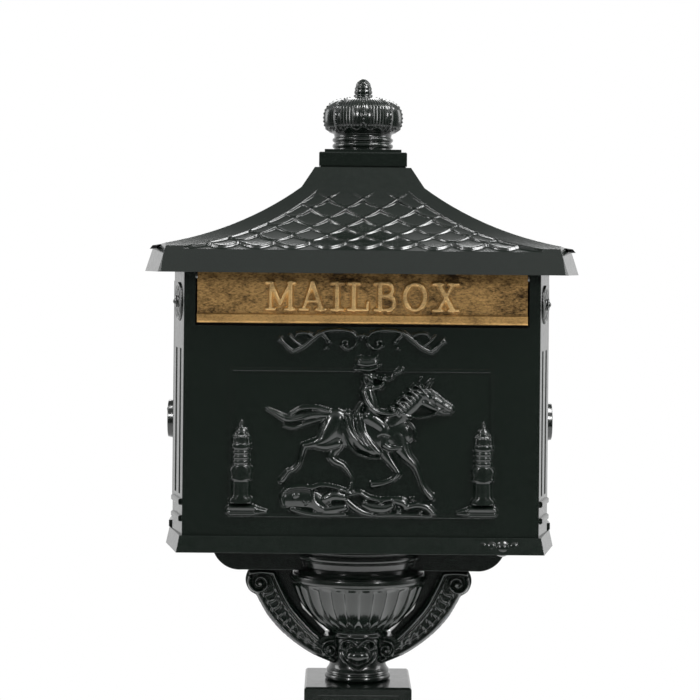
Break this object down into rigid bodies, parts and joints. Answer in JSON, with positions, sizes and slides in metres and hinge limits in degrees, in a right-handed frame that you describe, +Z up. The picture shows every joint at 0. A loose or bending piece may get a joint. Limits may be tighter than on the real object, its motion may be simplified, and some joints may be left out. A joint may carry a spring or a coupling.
{
  "type": "mailbox",
  "caption": "Cast-aluminium pedestal letter box: hipped roof with crown finial, relief front, top-hung letter flap, locking rear door, urn capital and fluted column.",
  "frame": {"origin": "on the ground at the middle of the foot, under the middle of the whole object's box", "axes": "+Z up, the relief front with the letter flap faces -Y, +X is to the right when facing the front"},
  "size_m": [0.43, 0.31, 1.17],
  "materials": {
    "green_paint": "gloss",
    "antique_bronze": "satin",
    "zinc_steel": "satin",
    "sheet_aluminium": "satin",
    "lock_chrome": "polished"
  },
  "bodies": {
    "housing": {"base_casting": "green_paint", "bowl_lid": "green_paint", "capital_bowl": "green_paint", "chute_screws": "zinc_steel", "column_cap": "green_paint", "column_shaft": "green_paint", "console_left": "green_paint", "console_right": "green_paint", "console_screws": "zinc_steel", "cradle_bolts": "zinc_steel", "cradle_plate": "green_paint", "cradle_washers": "zinc_steel", "crown_finial": "green_paint", "door_hinge_pins": "zinc_steel", "finial_nut": "zinc_steel", "finial_plinth": "green_paint", "finial_stud": "zinc_steel", "finial_washer": "zinc_steel", "flap_rod": "zinc_steel", "floor_casting": "green_paint", "floor_screws": "zinc_steel", "front_panel": "green_paint", "front_panel_screws": "zinc_steel", "left_side_panel": "green_paint", "mail_chute": "sheet_aluminium", "rear_frame": "green_paint", "rear_frame_screws": "zinc_steel", "right_side_panel": "green_paint", "ring_screws": "zinc_steel", "roof_shell": "green_paint", "shell_bosses": "green_paint", "soffit_ring": "green_paint", "soffit_screws": "zinc_steel", "tie_rod": "zinc_steel", "tie_rod_nuts": "zinc_steel", "tie_rod_washers": "zinc_steel"},
    "flap": {"letter_flap": "antique_bronze"},
    "door": {"rear_door": "green_paint", "lock_barrel": "lock_chrome", "lock_nut": "zinc_steel"},
    "lock_core": {"lock_plug": "lock_chrome", "lock_cam": "zinc_steel", "cam_screw": "zinc_steel"}
  },
  "joints": [
    {"name": "flap_hinge", "type": "hinge", "parent": "housing", "child": "flap", "pos_m": [0, -0.117, 0.968], "axis": [-1, 0, 0], "range_deg": [0, 70]},
    {"name": "door_hinge", "type": "hinge", "parent": "housing", "child": "door", "pos_m": [0.146, 0.1315, 0.847], "axis": [0, 0, -1], "range_deg": [0, 115]},
    {"name": "lock_turn", "type": "hinge", "parent": "door", "child": "lock_core", "pos_m": [-0.118, 0.12, 0.847], "axis": [0, -1, 0], "range_deg": [0, 90]}
  ]
}
